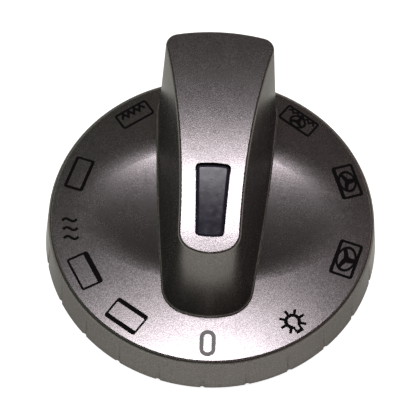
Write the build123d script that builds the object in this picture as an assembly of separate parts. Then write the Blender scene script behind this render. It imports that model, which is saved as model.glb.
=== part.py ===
from build123d import *
import os
from math import sqrt

# Selector knob of an oven, face up. The origin is the centre of the skirt's rim, +Z points out
# of the oven's panel, and the nose of the grip points along -Y. All sizes are in millimetres.

# Skirt and dial
rim_radius = 30.0
dial_radius = 29.0
dial_height = 7.8
dial_edge_round = 0.75
skirt_wall = 1.9
dial_plate = 2.2

# Faint grooves in the skirt, deepest at the rim and run out below the dial's edge
groove_count = 24
groove_depth = 0.2
groove_end_depth = 0.05
groove_rod_radius = 0.6
groove_height = 6.0

# Scoop in the dial, a shallow elliptic bowl for the finger tips with a soft rim
scoop_half_length = 25.2
scoop_half_width = 15.2
scoop_depth = 0.37
scoop_ease = 5.5
scoop_centre_y = 1.7

# Grip, given by its outline at the dial and its outline at a level just above its top
grip_level = 20.0
foot_nose_y = -20.1
nose_lean = 3.7
foot_nose_half_width = 7.3
foot_nose_bow = 2.0
foot_nose_corner = 5.2
foot_middle_half_width = 9.65
foot_tail_half_width = 11.05
tail_margin = 1.7
tail_lean = 1.7
foot_tail_corner = 5.6
top_nose_half_width = 4.85
top_nose_bow = 2.0
top_nose_corner = 3.2
top_middle_half_width = 6.1
top_tail_half_width = 9.9
top_tail_corner = 2.3
tail_bow = 1.5
arch_radius = 300.0
arch_crest_setback = 1.6
arch_crest_height = 20.0
grip_edge_round = 0.45
grip_foot_round = 0.4
grip_wall = 1.9
grip_roof = 2.6
least_corner = 0.5

# Pocket in the grip's top and the inlay in it
pocket_nose_margin = 2.4
pocket_length = 13.4
pocket_nose_width = 4.9
pocket_tail_width = 6.05
pocket_corner = 0.9
pocket_bow = 0.25
pocket_depth = 1.5
inlay_gap = 0.12
inlay_recess = 0.1
inlay_edge_round = 0.6
peg_count = 2
peg_radius = 0.9
peg_length = 2.2
peg_gap = 0.1
peg_inset = 3.0

# Shaft of the switch, which the socket is made for
shaft_radius = 3.0
shaft_flat = 1.6
shaft_flat_turn = 90.0
shaft_gap = 0.05

# Socket pressed into the boss of the shell
socket_radius = 5.0
socket_mouth_z = 1.0
socket_length = 18.0
socket_end = 2.0
socket_collar = 4.0
collar_gap = 0.25
socket_mouth_bevel = 0.4
socket_gap = 0.05
key_count = 4
key_width = 1.2
key_height = 0.6
key_gap = 0.1

# Boss and ribs below the dial
boss_radius = 7.2
boss_bottom_z = 9.5
rib_thickness = 1.2
grip_rib_bottom_z = 18.0
dial_rib_depth = 1.5
dial_rib_start = 9.2
dial_rib_angles = (-35.0, 0.0, 35.0)

# Spring clip round the free part of the socket, its straight leg against the shaft's flat
clip_thickness = 0.4
clip_width = 2.4
clip_gap = 0.2
clip_opening = 2.4
clip_bend = 0.3

# Worked out from the sizes above
reach = 4 * rim_radius
dial_under_z = dial_height - dial_plate
foot_tail_y = dial_radius - tail_margin
top_nose_y = foot_nose_y + nose_lean
top_tail_y = foot_tail_y - tail_lean
arch_crest_y = top_tail_y - arch_crest_setback
pocket_nose_y = top_nose_y + pocket_nose_margin
arch_centre_z = dial_height + arch_crest_height - arch_radius
bore_radius = shaft_radius + shaft_gap
bore_flat = shaft_flat + shaft_gap
collar_radius = shaft_radius + collar_gap
socket_top_z = socket_mouth_z + socket_length
collar_top_z = socket_mouth_z + socket_collar
clip_low_z = collar_top_z + clip_gap
clip_high_z = clip_low_z + clip_width


def revolved(points):
    """Solid of revolution about Z from a closed outline of (radius, height) points."""
    return revolve(Plane.XZ * make_face(Polyline(*points, close=True)), Axis.Z)


def drum(radius, low, high):
    """Upright cylinder on the Z axis between two levels."""
    return Pos(0, 0, low) * Cylinder(radius, high - low, align=(Align.CENTER, Align.CENTER, Align.MIN))


def bar(x_low, x_high, y_low, y_high, low, high):
    """Rectangular block between limits."""
    size = (x_high - x_low, y_high - y_low, high - low)
    return Pos(x_low, y_low, low) * Box(*size, align=(Align.MIN, Align.MIN, Align.MIN))


def under_arch(drop):
    """Everything below the arched top of the grip, lowered by drop."""
    roller = Cylinder(arch_radius - drop, reach, rotation=(0, 90, 0))
    return Pos(0, arch_crest_y, arch_centre_z) * roller


def arch_z(y, drop):
    """Level of the arched top at a place along the grip, lowered by drop."""
    return arch_centre_z + sqrt((arch_radius - drop) ** 2 - (y - arch_crest_y) ** 2)


def four_sided(nose, tail, nose_half, middle_half, tail_half, nose_bow, tail_bow):
    """Face along Y with bowed ends and two sides that run through a middle width."""
    nose_side = nose + nose_bow
    tail_side = tail - tail_bow
    middle = (nose_side + tail_side) / 2
    front = ThreePointArc((-nose_half, nose_side), (0, nose), (nose_half, nose_side))
    right = ThreePointArc((nose_half, nose_side), (middle_half, middle), (tail_half, tail_side))
    back = ThreePointArc((tail_half, tail_side), (0, tail), (-tail_half, tail_side))
    left = ThreePointArc((-tail_half, tail_side), (-middle_half, middle), (-nose_half, nose_side))
    return make_face([front, right, back, left])


def grip_outline(height, inset):
    """Outline of the grip at a height above the dial: every size runs straight from foot to top."""
    share = height / grip_level

    def at(foot, top):
        return foot + (top - foot) * share

    face = four_sided(
        at(foot_nose_y, top_nose_y) + inset,
        at(foot_tail_y, top_tail_y) - inset,
        at(foot_nose_half_width, top_nose_half_width) - inset,
        at(foot_middle_half_width, top_middle_half_width) - inset,
        at(foot_tail_half_width, top_tail_half_width) - inset,
        at(foot_nose_bow, top_nose_bow),
        tail_bow,
    )
    ends = face.vertices().group_by(Axis.Y)
    nose_corner = max(at(foot_nose_corner, top_nose_corner) - inset, least_corner)
    tail_corner = max(at(foot_tail_corner, top_tail_corner) - inset, least_corner)
    face = fillet(ends[0], nose_corner)
    face = fillet(face.vertices().group_by(Axis.Y)[-1], tail_corner)
    return Pos(0, 0, dial_height + height) * face


def grip_block(inset, low, high):
    """Drafted grip between two heights above the dial, with a flat top."""
    return loft([grip_outline(low, inset), grip_outline(high, inset)], ruled=True)


def grip_body():
    """Outside of the grip with its arched top and rounded top edge, reaching below the scoop."""
    body = grip_block(0, -scoop_depth - 1, grip_level + 1) & under_arch(0)
    top = body.faces().sort_by(Axis.Z)[-1]
    left = fillet(top.edges(), grip_edge_round) & bar(-reach, 0, -reach, reach, -reach, reach)
    return left + mirror(left, Plane.YZ)


def skirt_body():
    """Solid dial and drafted skirt with the grooves round the rim, its seam between two of them."""
    profile = [(0, 0), (rim_radius, 0), (dial_radius, dial_height), (0, dial_height)]
    body = Rot(0, 0, 180 / groove_count) * revolved(profile)
    body = fillet(body.edges().group_by(Axis.Z)[-1], dial_edge_round)
    head_radius = rim_radius - (rim_radius - dial_radius) * groove_height / dial_height
    foot = Vector(rim_radius + groove_rod_radius - groove_depth, 0, 0)
    head = Vector(head_radius + groove_rod_radius - groove_end_depth, 0, groove_height)
    run = head - foot
    groove = Plane(foot, z_dir=run) * Cylinder(groove_rod_radius, 2 * run.length)
    return body - [turn * groove for turn in PolarLocations(0, groove_count)]


def scoop():
    """Bowl that is cut from the dial: a hollow arc, then a round one that eases out into the dial."""
    turn = (scoop_half_length - scoop_ease, -scoop_depth * scoop_ease / scoop_half_length)
    floor = TangentArc((0, -scoop_depth), turn, tangent=(1, 0))
    lip = TangentArc((scoop_half_length, 0), turn, tangent=(-1, 0))
    lid = Polyline((scoop_half_length, 0), (scoop_half_length, 1), (0, 1), (0, -scoop_depth))
    bowl = revolve(Plane.XZ * make_face([floor, lip, lid]), Axis.Z)
    return Pos(0, scoop_centre_y, dial_height) * scale(bowl, by=(1, scoop_half_width / scoop_half_length, 1))


def hollow():
    """Space below the dial and inside the grip, less the boss and the ribs that stand in it."""
    rim = rim_radius - skirt_wall
    crown = dial_radius - skirt_wall
    space = revolved([(0, 0), (rim, 0), (crown, dial_under_z), (0, dial_under_z)])
    space += grip_block(grip_wall, -dial_plate - 1, grip_level + 1) & under_arch(grip_roof)
    space -= drum(boss_radius, boss_bottom_z, reach)
    half = rib_thickness / 2
    space -= bar(-half, half, -reach, reach, grip_rib_bottom_z, reach)
    dial_rib = bar(dial_rib_start, reach, -half, half, dial_under_z - dial_rib_depth, dial_under_z)
    return space - [Rot(0, 0, side + angle) * dial_rib for side in (0, 180) for angle in dial_rib_angles]


def pocket_prism(inset):
    """Upright prism on the tapered outline of the pocket."""
    nose = pocket_nose_y + inset
    tail = pocket_nose_y + pocket_length - inset
    nose_half = pocket_nose_width / 2 - inset
    tail_half = pocket_tail_width / 2 - inset
    front = ThreePointArc((-nose_half, nose + pocket_bow), (0, nose), (nose_half, nose + pocket_bow))
    right = Line((nose_half, nose + pocket_bow), (tail_half, tail - pocket_bow))
    back = ThreePointArc((tail_half, tail - pocket_bow), (0, tail), (-tail_half, tail - pocket_bow))
    left = Line((-tail_half, tail - pocket_bow), (-nose_half, nose + pocket_bow))
    face = make_face([front, right, back, left])
    return extrude(fillet(face.vertices(), pocket_corner - inset), reach)


def pegs(gap):
    """Pegs below the inlay, or their holes in the pocket's floor where a gap is given."""
    step = (pocket_length - 2 * peg_inset) / (peg_count - 1)
    made = []
    for number in range(peg_count):
        y = pocket_nose_y + peg_inset + step * number
        low = arch_z(y, pocket_depth) - peg_length - gap
        peg = Pos(0, y, 0) * drum(peg_radius + gap, low, reach)
        made.append(peg & under_arch(pocket_depth))
    return made


def keys(gap):
    """Keys on the socket's side, or their ways in the boss where a gap is given."""
    half = key_width / 2 + gap
    key = bar(0, socket_radius + key_height + gap, -half, half, boss_bottom_z, socket_top_z)
    return [turn * key for turn in PolarLocations(0, key_count)]


def knob_shell():
    """The one moulding: skirt, dial, scoop and grip, hollow below, with boss, ribs and pocket."""
    dial = skirt_body() - scoop()
    grip = grip_body()
    outside = dial + grip
    outside = fillet(new_edges(dial, grip, combined=outside), grip_foot_round)
    pocket = pocket_prism(0) - under_arch(pocket_depth)
    socket_hole = drum(socket_radius + socket_gap, boss_bottom_z, socket_top_z)
    return outside - hollow() - pocket - pegs(peg_gap) - socket_hole - keys(key_gap)


def pointer_inlay():
    """Dark inlay in the pocket, with rounded upper edges and pegs below."""
    plate = (pocket_prism(inlay_gap) & under_arch(inlay_recess)) - under_arch(pocket_depth)
    plate = fillet(plate.faces().sort_by(Axis.Z)[-1].edges(), inlay_edge_round)
    return plate + pegs(0)


def shaft_socket():
    """Keyed socket: wide collar at the mouth, then a bore with a flat and a window for the clip."""
    body = drum(socket_radius, socket_mouth_z, socket_top_z) + keys(0)
    body -= drum(collar_radius, socket_mouth_z, collar_top_z)
    flat_side = bar(bore_flat, reach, -reach, reach, 0, reach)
    body -= drum(bore_radius, collar_top_z, socket_top_z - socket_end) - flat_side
    body -= bar(bore_flat, reach, -reach, reach, collar_top_z, clip_high_z + clip_gap)
    mouth = body.edges().filter_by(GeomType.CIRCLE).group_by(Axis.Z)[0]
    return Rot(0, 0, shaft_flat_turn) * chamfer(mouth, socket_mouth_bevel)


def clip_outline(radius, flat, bend):
    """Circle cut off by the shaft's flat, with the two corners rounded."""
    face = Circle(radius) - Pos(flat, 0) * Rectangle(reach, reach, align=(Align.MIN, Align.CENTER))
    return fillet(face.vertices(), bend)


def spring_clip():
    """Steel strip bent round the socket, open at the back."""
    inner = socket_radius + clip_gap
    outline = clip_outline(inner + clip_thickness, bore_flat + clip_thickness, clip_bend + clip_thickness)
    outline -= clip_outline(inner, bore_flat, clip_bend)
    outline -= Rectangle(reach, clip_opening, align=(Align.MAX, Align.CENTER))
    return Pos(0, 0, clip_low_z) * Rot(0, 0, shaft_flat_turn) * extrude(outline, clip_width)


nodes = {
    "knob_shell": knob_shell(),
    "pointer_inlay": pointer_inlay(),
    "shaft_socket": shaft_socket(),
    "spring_clip": spring_clip(),
}

os.makedirs("parts", exist_ok=True)
for name, solid in nodes.items():
    export_step(solid, f"parts/{name}.step")
    print(name, round(solid.volume, 1))
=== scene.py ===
"""Looks of the oven function knob, laid over its CAD solids. The scene's lengths are metres."""

import bpy
import numpy as np
from mathutils import Matrix, Vector


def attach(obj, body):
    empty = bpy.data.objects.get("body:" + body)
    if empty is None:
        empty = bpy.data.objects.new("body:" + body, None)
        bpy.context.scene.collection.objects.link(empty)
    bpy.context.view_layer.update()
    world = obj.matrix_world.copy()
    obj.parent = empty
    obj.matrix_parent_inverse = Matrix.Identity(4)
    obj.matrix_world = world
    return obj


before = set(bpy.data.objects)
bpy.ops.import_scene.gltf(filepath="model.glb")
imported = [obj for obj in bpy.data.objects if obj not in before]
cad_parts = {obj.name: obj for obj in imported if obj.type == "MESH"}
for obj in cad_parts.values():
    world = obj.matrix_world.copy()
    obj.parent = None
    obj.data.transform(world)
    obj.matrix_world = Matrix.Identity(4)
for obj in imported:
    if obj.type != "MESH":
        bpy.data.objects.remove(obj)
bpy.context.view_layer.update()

# The printed marks, in millimetres
dial_level = 7.8
ink_proud = 0.02
ink_sunk = 0.03
ink_step = 0.002
frame_corner = 0.5
frame_inner_corner = 0.16

# Leans in the paint: faces below this level, in metres, belong to the dial and its scoop
dial_limit = 0.009
scoop_swell = 3.4
grip_swell = 0.73
inlay_swell = 1.8
dial_crown = 3.7

# The photograph: distance in metres, angles in degrees, focal length and aim in pixels
camera_away = 0.2907
camera_high = 61.69
camera_side = 0.9
camera_roll = 2.12
camera_focus = 1593.3
camera_aim = (-0.82, 25.19, 0)
picture_width = 420
sensor_width = 36.0

# The studio, in metres
floor_radius = 3.0
floor_drop = 0.0002
lamp_distance = 1.2


# Shader maths
class Value:
    """One output socket. Arithmetic on it adds Math nodes to its sheet."""

    def __init__(self, sheet, socket):
        self.sheet = sheet
        self.socket = socket

    def _math(self, operation, first, second):
        return self.sheet.node("ShaderNodeMath", {"operation": operation}, {0: first, 1: second})

    def __add__(self, other):
        return self._math("ADD", self, other)

    def __radd__(self, other):
        return self._math("ADD", other, self)

    def __sub__(self, other):
        return self._math("SUBTRACT", self, other)

    def __rsub__(self, other):
        return self._math("SUBTRACT", other, self)

    def __mul__(self, other):
        return self._math("MULTIPLY", self, other)

    def __rmul__(self, other):
        return self._math("MULTIPLY", other, self)


class Sheet:
    """The node sheet of one material or of the world."""

    def __init__(self, owner):
        owner.use_nodes = True
        self.tree = owner.node_tree
        self.tree.nodes.clear()

    def node(self, kind, settings=None, sockets=None, output=0):
        """Adds a node: its settings first, then a value or a link for each socket named or numbered."""
        made = self.tree.nodes.new(kind)
        for key, value in (settings or {}).items():
            setattr(made, key, value)
        for key, value in (sockets or {}).items():
            if isinstance(value, Value):
                self.tree.links.new(value.socket, made.inputs[key])
            else:
                made.inputs[key].default_value = value
        return Value(self, made.outputs[output]) if len(made.outputs) else None

    def place(self):
        """Place on the object, in metres from its origin."""
        return self.node("ShaderNodeTexCoord", output="Object")

    def noise(self, scale, detail, roughness=0.5):
        """Noise from 0 to 1 over the object's own coordinates."""
        sockets = {"Vector": self.place(), "Scale": scale, "Detail": detail, "Roughness": roughness}
        return self.node("ShaderNodeTexNoise", {}, sockets)

    def between(self, value, low, high, start=0.0, end=1.0):
        """Runs smoothly from start to end while value goes from low to high."""
        sockets = {"Value": value, "From Min": low, "From Max": high, "To Min": start, "To Max": end}
        return self.node("ShaderNodeMapRange", {"interpolation_type": "SMOOTHSTEP"}, sockets)

    def blend(self, share, first, second):
        """Colour that goes from first to second as share goes from 0 to 1."""
        sockets = {0: share, 6: first, 7: second}
        return self.node("ShaderNodeMix", {"data_type": "RGBA"}, sockets, output=2)

    def vectors(self, operation, first, second=(0, 0, 0)):
        """Vector Math on two vectors."""
        return self.node("ShaderNodeVectorMath", {"operation": operation}, {0: first, 1: second})

    def bump(self, height, strength, distance, normal=None):
        """Normal tilted by the slope of a height."""
        sockets = {"Strength": strength, "Distance": distance, "Height": height}
        if normal:
            sockets["Normal"] = normal
        return self.node("ShaderNodeBump", {}, sockets)

    def sideways(self, vector, factor):
        """The X and Y of a vector, each times a factor, with no Z."""
        factors = self.node("ShaderNodeCombineXYZ", {}, {0: factor, 1: factor, 2: 0.0})
        return self.vectors("MULTIPLY", vector, factors)

    def softened(self, swell_low, swell_high, crown):
        """Normal of gently curved faces as the paint shows it. A face that looks almost straight up
        leans further the way it already leans, by swell times its lean. Below the dial's limit it
        also leans away from the Z axis, by crown times its distance from it."""
        normal = self.node("ShaderNodeNewGeometry", output="Normal")
        upward = self.node("ShaderNodeSeparateXYZ", {}, {0: normal}, output="Z")
        height = self.node("ShaderNodeSeparateXYZ", {}, {0: self.place()}, output="Z")
        gentle = self.between(upward, 0.965, 0.985)
        below = self.between(height, dial_limit, dial_limit + 0.001, 1.0, 0.0)
        swell = gentle * (swell_high + (swell_low - swell_high) * below)
        swollen = self.sideways(normal, swell)
        crowned = self.sideways(self.place(), crown * gentle * below)
        return self.vectors("NORMALIZE", self.vectors("ADD", normal, self.vectors("ADD", swollen, crowned)))

    def surface(self, sockets):
        """Principled surface, joined to the material's output."""
        shader = self.node("ShaderNodeBsdfPrincipled", {}, sockets)
        self.node("ShaderNodeOutputMaterial", {}, {"Surface": shader})


def new_material(name):
    made = bpy.data.materials.new(name)
    return made, Sheet(made)


# Materials
def satin_metallic_paint():
    """Satin metallic paint: fine flakes, each a little lighter or darker, in a slightly uneven coat."""
    made, sheet = new_material("satin_metallic_paint")
    flakes = sheet.noise(5200, 1.0)
    clouds = sheet.noise(260, 3.0)
    flake_share = sheet.between(flakes, 0.33, 0.67)
    sheet.surface({
        "Base Color": sheet.blend(flake_share, (0.120, 0.111, 0.111, 1), (0.188, 0.174, 0.174, 1)),
        "Metallic": 0.85,
        "Specular Tint": (0.4, 0.4, 0.4, 1),
        "Roughness": 0.22 + 0.04 * clouds + 0.05 * flakes,
        "Normal": sheet.bump(flakes, 0.08, 0.00005, sheet.softened(scoop_swell, grip_swell, dial_crown)),
    })
    return made


def dark_inlay_plastic():
    """Dark plastic with a lilac cast, smooth with a fine mottle."""
    made, sheet = new_material("dark_inlay_plastic")
    mottle = sheet.noise(900, 4.0, 0.6)
    sheet.surface({
        "Base Color": sheet.blend(mottle, (0.006, 0.005, 0.010, 1), (0.040, 0.036, 0.062, 1)),
        "Roughness": 0.14 + 0.22 * mottle,
        "Specular IOR Level": 0.4,
        "Normal": sheet.bump(mottle, 0.3, 0.00005, sheet.softened(inlay_swell, inlay_swell, 0.0)),
    })
    return made


def black_socket_plastic():
    """Matt black plastic with the fine grain of a moulded part."""
    made, sheet = new_material("black_socket_plastic")
    grain = sheet.noise(2400, 3.0)
    sheet.surface({
        "Base Color": sheet.blend(grain, (0.018, 0.018, 0.018, 1), (0.036, 0.035, 0.034, 1)),
        "Roughness": 0.5 + 0.15 * grain,
        "Normal": sheet.bump(grain, 0.15, 0.00003),
    })
    return made


def spring_steel():
    """Bright rolled spring steel with faint cloudy streaks."""
    made, sheet = new_material("spring_steel")
    streaks = sheet.noise(1500, 2.0)
    sheet.surface({
        "Base Color": sheet.blend(streaks, (0.50, 0.50, 0.51, 1), (0.62, 0.62, 0.62, 1)),
        "Metallic": 1.0,
        "Roughness": 0.24 + 0.14 * streaks,
    })
    return made


def printing_ink(name, low, high):
    """Printed ink, a little thinner in places."""
    made, sheet = new_material(name)
    thin = sheet.noise(1700, 3.0)
    sheet.surface({
        "Base Color": sheet.blend(thin, low, high),
        "Roughness": 0.5 + 0.15 * thin,
        "Specular IOR Level": 0.04,
    })
    return made


finishes = {
    "knob_shell": satin_metallic_paint(),
    "pointer_inlay": dark_inlay_plastic(),
    "shaft_socket": black_socket_plastic(),
    "spring_clip": spring_steel(),
}
for node, finish in finishes.items():
    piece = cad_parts[node]
    piece.data.materials.clear()
    piece.data.materials.append(finish)


# Printed marks. A mark is drawn flat: x to the right and y away from the knob's centre.
def ink_band(first, second, closed=True):
    """Flat band of ink between two lines of as many points, the first on the right of their run.
    Both lines stand at the top and at the underside, which makes four rows: first and second at
    the top, second and first below. A face joins each point and its neighbour to the same two of
    the next row, and two more faces close the ends of an open band."""
    count = len(first)
    rows = np.stack([first, second, second, first])
    levels = np.array([ink_proud, ink_proud, -ink_sunk, -ink_sunk])
    points = np.dstack([rows, np.repeat(levels[:, None], count, axis=1)]).reshape(-1, 3)
    here = np.arange(count if closed else count - 1)
    after = (here + 1) % count
    steps = np.arange(4) * count
    pairs = zip(steps, np.roll(steps, -1))
    faces = [np.stack([a + here, a + after, b + after, b + here], axis=1) for a, b in pairs]
    if not closed:
        faces.append(np.stack([steps, steps[::-1] + count - 1]))
    return points, np.concatenate(faces)


def box_outline(left, right, low, high, corner):
    """Rectangle with round corners, anticlockwise: quarter circles of six points each, joined."""
    across = np.array([right - corner, left + corner, left + corner, right - corner])
    along = np.array([high - corner, high - corner, low + corner, low + corner])
    turn = np.radians(np.arange(0, 360, 90)[:, None] + np.linspace(0, 90, 6))
    x = across[:, None] + corner * np.cos(turn)
    y = along[:, None] + corner * np.sin(turn)
    return np.stack([x, y], axis=2).reshape(-1, 2)


def box_frame(width, height, left, right, low, high):
    """Rectangle of ink with its own line width on the left, right, inner and outer side."""
    x, y = width / 2, height / 2
    outer = box_outline(-x, x, -y, y, frame_corner)
    inner = box_outline(left - x, x - right, low - y, y - high, frame_inner_corner)
    return ink_band(outer, inner)


def arc(start, end, count):
    """Points along the unit circle between two angles in degrees, anticlockwise."""
    turn = np.radians(np.linspace(start, end, count))
    return np.stack([np.cos(turn), np.sin(turn)], axis=1)


def ring(radius, line):
    """Ring of ink inside a radius."""
    circle = arc(0, 360, 49)[:-1]
    return ink_band(radius * circle, (radius - line) * circle)


def stroke(path, width):
    """Band of ink along an open path. Each point moves to both sides by half the width, along the
    sum of the unit normals a and b of the runs that meet there, divided by 1 + a.b."""
    path = np.asarray(path, float)
    run = np.diff(path, axis=0)
    normal = np.stack([run[:, 1], -run[:, 0]], axis=1) / np.linalg.norm(run, axis=1)[:, None]
    before = np.concatenate([normal[:1], normal])
    after = np.concatenate([normal, normal[-1:]])
    aside = (before + after) / (1 + (before * after).sum(axis=1))[:, None]
    half = np.broadcast_to(width, len(path))[:, None] / 2
    return ink_band(path + half * aside, path - half * aside, closed=False)


def fan(radius, line, stretch, middle=0.0):
    """Fan: a ring round three blades, all stretched sideways to an oval. A blade runs out from the
    hub to the ring, bends a little aside as the square of its length, and narrows along it."""
    share = np.linspace(0, 1, 8)
    out = (radius - line / 2) * share
    bend = 0.2 * radius * share**2
    width = 0.52 * radius - 0.22 * radius * share
    bands = [ring(radius, line)]
    for turn in np.radians((80, 200, 320)):
        spin = np.array([[np.cos(turn), np.sin(turn)], [-np.sin(turn), np.cos(turn)]])
        bands.append(stroke(np.stack([out, bend], axis=1) @ spin, width))
    return [(points * (stretch, 1, 1) + (0, middle, 0), faces) for points, faces in bands]


def zigzag(left, right, y, rise, teeth, line):
    """Grill element: a line that goes up and down between two levels."""
    x = np.linspace(left, right, 2 * teeth + 1)
    lift = np.where(np.arange(2 * teeth + 1) % 2 == 0, -rise / 2, rise / 2)
    return stroke(np.stack([x, y + lift], axis=1), line)


def lamp_mark():
    """Lamp: a bulb that is open towards its base, seven rays, its neck, and the base on the outer side."""
    bands = [stroke(1.16 * arc(118, 422, 40), 0.62)]
    bands += [stroke([1.3 * way, 2.35 * way], 0.5) for way in arc(135, 405, 7)]
    bands += [stroke([(x, 0.95), (x, 1.95)], 0.4) for x in (-0.52, 0.52)]
    bands.append(stroke([(-0.7, 2.1), (0.7, 2.1)], 0.62))
    return bands


def waves():
    """Three short waves side by side, each a sine along its length."""
    y = np.linspace(-1.3, 1.3, 24)
    swing = 0.36 * np.sin(np.pi * y / 1.3)
    return [stroke(np.stack([x + swing, y], axis=1), 0.5) for x in (-1.8, 0, 1.8)]


def print_mark(name, bands, radius, turn, ink):
    """Sets a mark on the dial at a radius and a turn about Z, its top outwards. The right-hand
    direction is (sin, -cos) of the turn and the outward one (cos, sin). Each band lies a hair
    higher than the last, so that no two faces share a plane."""
    sizes = np.cumsum([0] + [len(points) for points, faces in bands])
    flat = np.concatenate([points + (0, 0, ink_step * i) for i, (points, faces) in enumerate(bands)])
    faces = np.concatenate([faces + start for start, (points, faces) in zip(sizes, bands)])
    c, s = np.cos(np.radians(turn)), np.sin(np.radians(turn))
    rows = np.array([[s, -c, 0], [c, s, 0], [0, 0, 1]])
    points = (flat @ rows + (radius * c, radius * s, dial_level)) / 1000
    mesh = bpy.data.meshes.new(name)
    mesh.from_pydata(points.tolist(), [], faces.tolist())
    mesh.materials.append(ink)
    made = bpy.data.objects.new(name, mesh)
    bpy.context.scene.collection.objects.link(made)
    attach(made, "root")


black_ink = printing_ink("black_ink", (0.0020, 0.0014, 0.0018, 1), (0.0060, 0.0042, 0.0052, 1))
# The zero is printed in black ink like the other marks; this lighter grey ink paints the lamp's highlight
# on it, a painted highlight.
painted_highlight_ink = printing_ink("painted_highlight_ink", (0.22, 0.21, 0.215, 1), (0.34, 0.33, 0.335, 1))

zero_outer = box_outline(-1.38, 1.38, -2.45, 2.45, 1.36)
zero_inner = box_outline(-0.68, 0.68, -1.72, 1.72, 0.66)
print_mark("mark_zero", [ink_band(zero_outer, zero_inner)], 25.1, -88.7, painted_highlight_ink)

both_heats = [box_frame(6.5, 4.4, 0.36, 0.36, 0.85, 0.85)]
lower_heat = [box_frame(6.8, 4.1, 0.42, 0.42, 0.95, 0.42)]
plain_box = [box_frame(6.8, 3.6, 0.55, 0.45, 0.6, 0.55)]
grill = [box_frame(6.8, 3.5, 0.42, 0.42, 0.42, 0.42), zigzag(-2.4, 2.4, 0.7, 1.0, 4, 0.45)]
fan_grill = [box_frame(7.1, 3.6, 0.42, 0.42, 0.45, 0.42), zigzag(-2.9, 2.9, 1.0, 0.6, 5, 0.36)]
fan_grill += fan(1.3, 0.34, 1.3, -0.3)
fan_box = [box_frame(6.9, 4.0, 0.5, 0.5, 0.7, 0.5)] + fan(1.62, 0.38, 1.4)
hot_air = [box_frame(7.1, 4.3, 0.5, 0.5, 0.62, 0.55)] + fan(1.78, 0.38, 1.45)
marks = (
    ("mark_both_heats", both_heats, 24.9, -123.2),
    ("mark_lower_heat", lower_heat, 24.9, -149.8),
    ("mark_waves", waves(), 25.2, -170.0),
    ("mark_plain_box", plain_box, 25.2, 164.0),
    ("mark_grill", grill, 25.3, 127.0),
    ("mark_fan_grill", fan_grill, 25.6, 54.0),
    ("mark_fan", fan_box, 25.5, 18.9),
    ("mark_hot_air", hot_air, 25.2, -17.4),
    ("mark_lamp", lamp_mark(), 25.1, -53.4),
)
for name, bands, radius, turn in marks:
    print_mark(name, bands, radius, turn, black_ink)


# Camera, floor and light
def look_at(place, target, turn=0.0):
    """Matrix of a camera or lamp at place whose -Z axis points at target, then turned about it."""
    back = (Vector(place) - Vector(target)).normalized()
    right = Vector((0, 0, 1)).cross(back).normalized()
    up = back.cross(right)
    basis = Matrix((right, up, back)).transposed() @ Matrix.Rotation(turn, 3, "Z")
    return Matrix.Translation(place) @ basis.to_4x4()


def photograph_camera():
    """The photograph's camera, seen from the nose's side and turned a little about its own axis. It
    aims at the point of the picture plane through the origin that the picture's middle shows."""
    high, side, roll = np.radians((camera_high, camera_side, camera_roll))
    eye = camera_away * np.array((np.cos(high) * np.sin(side), -np.cos(high) * np.cos(side), np.sin(high)))
    turned = np.array(look_at(eye, (0, 0, 0), roll).to_3x3())
    aim = turned @ np.array(camera_aim) * camera_away / camera_focus
    lens = bpy.data.cameras.new("photograph")
    lens.sensor_width = sensor_width
    lens.lens = sensor_width * camera_focus / picture_width
    lens.clip_start = 0.01
    made = bpy.data.objects.new("photograph", lens)
    bpy.context.scene.collection.objects.link(made)
    made.matrix_world = look_at(eye, aim, roll)
    bpy.context.scene.camera = made


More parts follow.
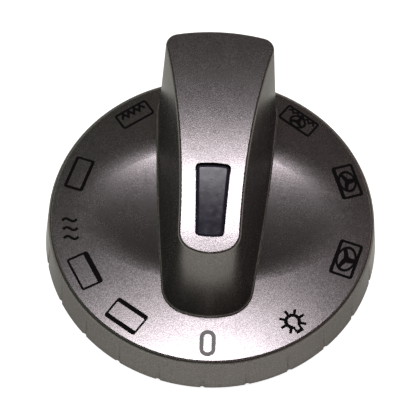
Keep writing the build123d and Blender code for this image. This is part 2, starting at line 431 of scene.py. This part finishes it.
def floor():
    """A wide flat disc just below the rim, that shows white and keeps the knob's shadow. It gives
    its own light only to what looks at it, straight or by way of a shine."""
    disc = floor_radius * arc(0, 360, 65)[:-1]
    points = np.insert(disc, 2, -floor_drop, axis=1)
    mesh = bpy.data.meshes.new("floor")
    mesh.from_pydata(points.tolist(), [], [list(range(len(points)))])
    made = bpy.data.objects.new("floor", mesh)
    bpy.context.scene.collection.objects.link(made)
    paint, sheet = new_material("pale_floor")
    seen = sheet.node("ShaderNodeLightPath", output="Is Camera Ray")
    mirrored = sheet.node("ShaderNodeLightPath", output="Is Glossy Ray")
    mirrored = mirrored + sheet.node("ShaderNodeLightPath", output="Is Transmission Ray")
    glow = sheet.blend(mirrored, (0, 0, 0, 1), (0.66, 0.66, 0.59, 1))
    sheet.surface({
        "Base Color": (0.80, 0.81, 0.75, 1),
        "Roughness": 0.9,
        "Emission Color": sheet.blend(seen, glow, (0.82, 0.82, 0.85, 1)),
        "Emission Strength": 1.0,
    })
    mesh.materials.append(paint)


def softbox(name, direction, width, depth, watts, colour):
    """An oval soft lamp that faces the knob from a direction."""
    light = bpy.data.lights.new(name, "AREA")
    light.shape = "ELLIPSE"
    light.size = width
    light.size_y = depth
    light.energy = watts
    light.color = colour
    made = bpy.data.objects.new(name, light)
    bpy.context.scene.collection.objects.link(made)
    made.matrix_world = look_at(Vector(direction).normalized() * lamp_distance, (0, 0, 0))


def studio_world():
    """Pale walls up to 20 degrees above the floor and a dim ceiling, a little greener on the left."""
    sky = bpy.data.worlds.new("studio")
    bpy.context.scene.world = sky
    sheet = Sheet(sky)
    way = sheet.node("ShaderNodeTexCoord", output="Generated")
    across = sheet.node("ShaderNodeSeparateXYZ", {}, {0: way}, output="X")
    upward = sheet.node("ShaderNodeSeparateXYZ", {}, {0: way}, output="Z")
    right = sheet.between(across, -0.6, 0.6)
    walls = sheet.blend(right, (0.83, 0.87, 0.74, 1), (0.86, 0.82, 0.73, 1))
    ceiling = sheet.blend(right, (0.036, 0.056, 0.024, 1), (0.076, 0.039, 0.029, 1))
    colour = sheet.blend(sheet.between(upward, 0.26, 0.42), walls, ceiling)
    light = sheet.node("ShaderNodeBackground", {}, {"Color": colour, "Strength": 1.0})
    sheet.node("ShaderNodeOutputWorld", {}, {"Surface": light})


photograph_camera()
floor()
off_zenith, azimuth = np.radians((8.7, 103))
aside = np.sin(off_zenith)
above = (aside * np.cos(azimuth), aside * np.sin(azimuth), np.cos(off_zenith))
softbox("overhead_softbox", above, 0.54, 0.17, 7.1, (0.98, 0.94, 1.0))
softbox("front_softbox", (0, -1, 0.55), 0.35, 0.35, 0.3, (1.0, 0.98, 0.95))
studio_world()
bpy.context.scene.view_settings.view_transform = "Standard"
